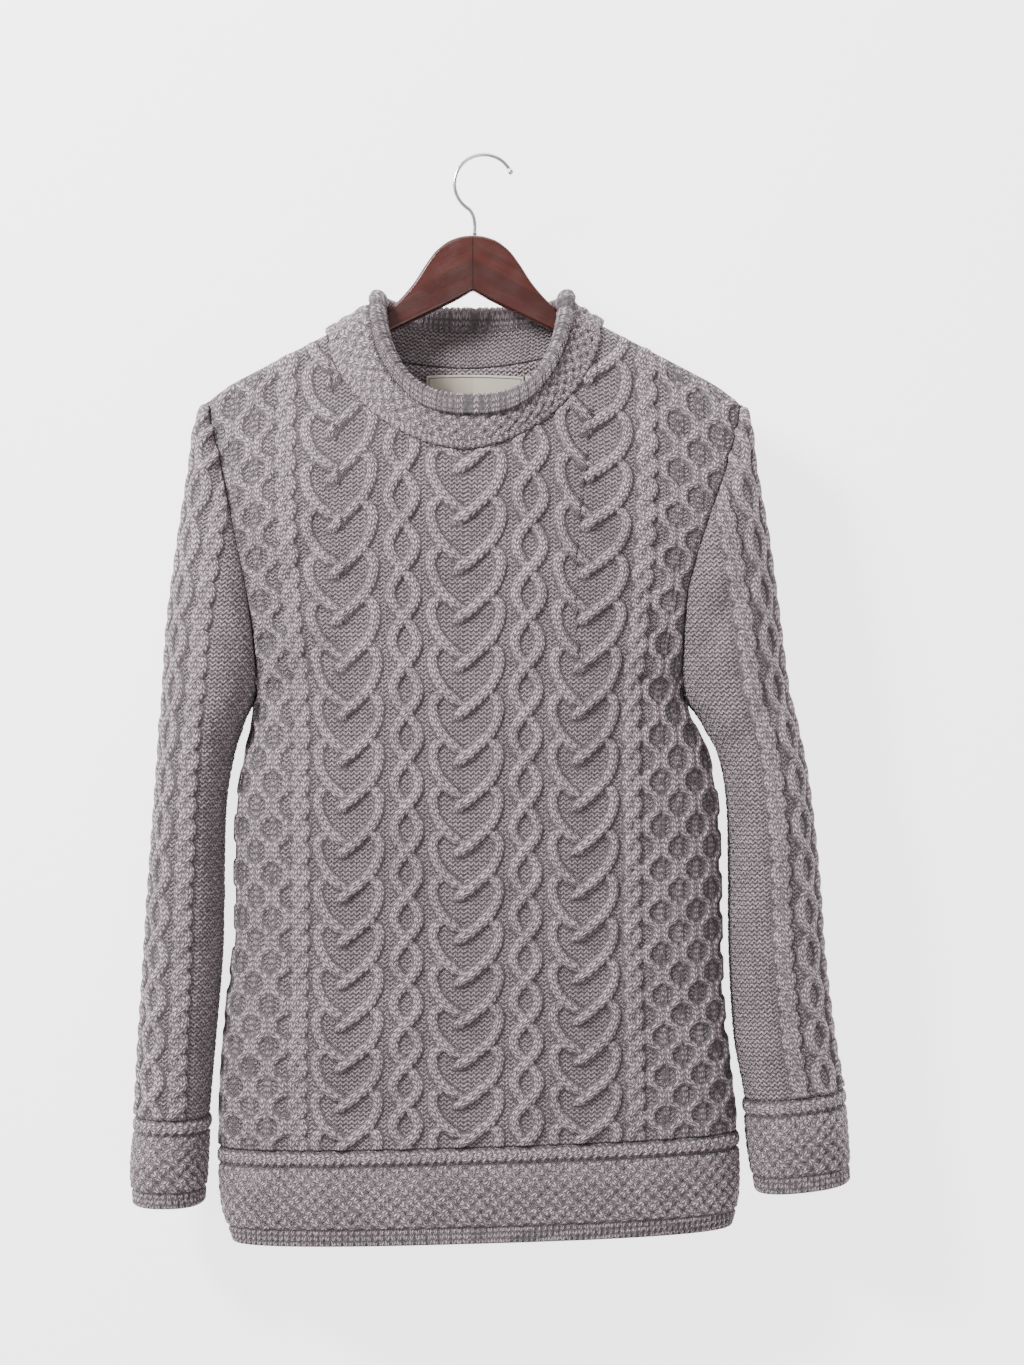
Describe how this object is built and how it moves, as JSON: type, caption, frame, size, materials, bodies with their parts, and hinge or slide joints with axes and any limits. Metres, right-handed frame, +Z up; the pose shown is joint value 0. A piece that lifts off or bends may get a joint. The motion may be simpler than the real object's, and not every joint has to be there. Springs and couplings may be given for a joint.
{
  "type": "cable knit sweater on a wooden hanger",
  "caption": "Long cable knit sweater with a rolled funnel neck, draped on a flat wooden hanger that hangs by a wire hook.",
  "frame": {"origin": "inner top of the wire hook, where it rests on its peg or rail", "axes": "+Z up, X across the shoulders with +X at the viewer's right, the front of the sweater faces -Y"},
  "size_m": [0.5595, 0.1106, 0.8473],
  "materials": {
    "front": "matt heathered wool",
    "back": "matt heathered wool",
    "sleeve_left": "matt heathered wool",
    "sleeve_right": "matt heathered wool",
    "hem_band_front": "matt heathered wool",
    "hem_band_back": "matt heathered wool",
    "cuff_left": "matt heathered wool",
    "cuff_right": "matt heathered wool",
    "collar": "matt heathered wool",
    "label": "smooth woven satin",
    "size_tab": "smooth woven satin",
    "hanger": "dark mahogany stain under a satin varnish",
    "hook": "polished"
  },
  "bodies": {
    "root": {"front": "front", "back": "back", "sleeve_left": "sleeve_left", "sleeve_right": "sleeve_right", "hem_band_front": "hem_band_front", "hem_band_back": "hem_band_back", "cuff_left": "cuff_left", "cuff_right": "cuff_right", "collar": "collar", "label": "label", "size_tab": "size_tab", "hanger": "hanger", "hook": "hook"}
  },
  "joints": []
}
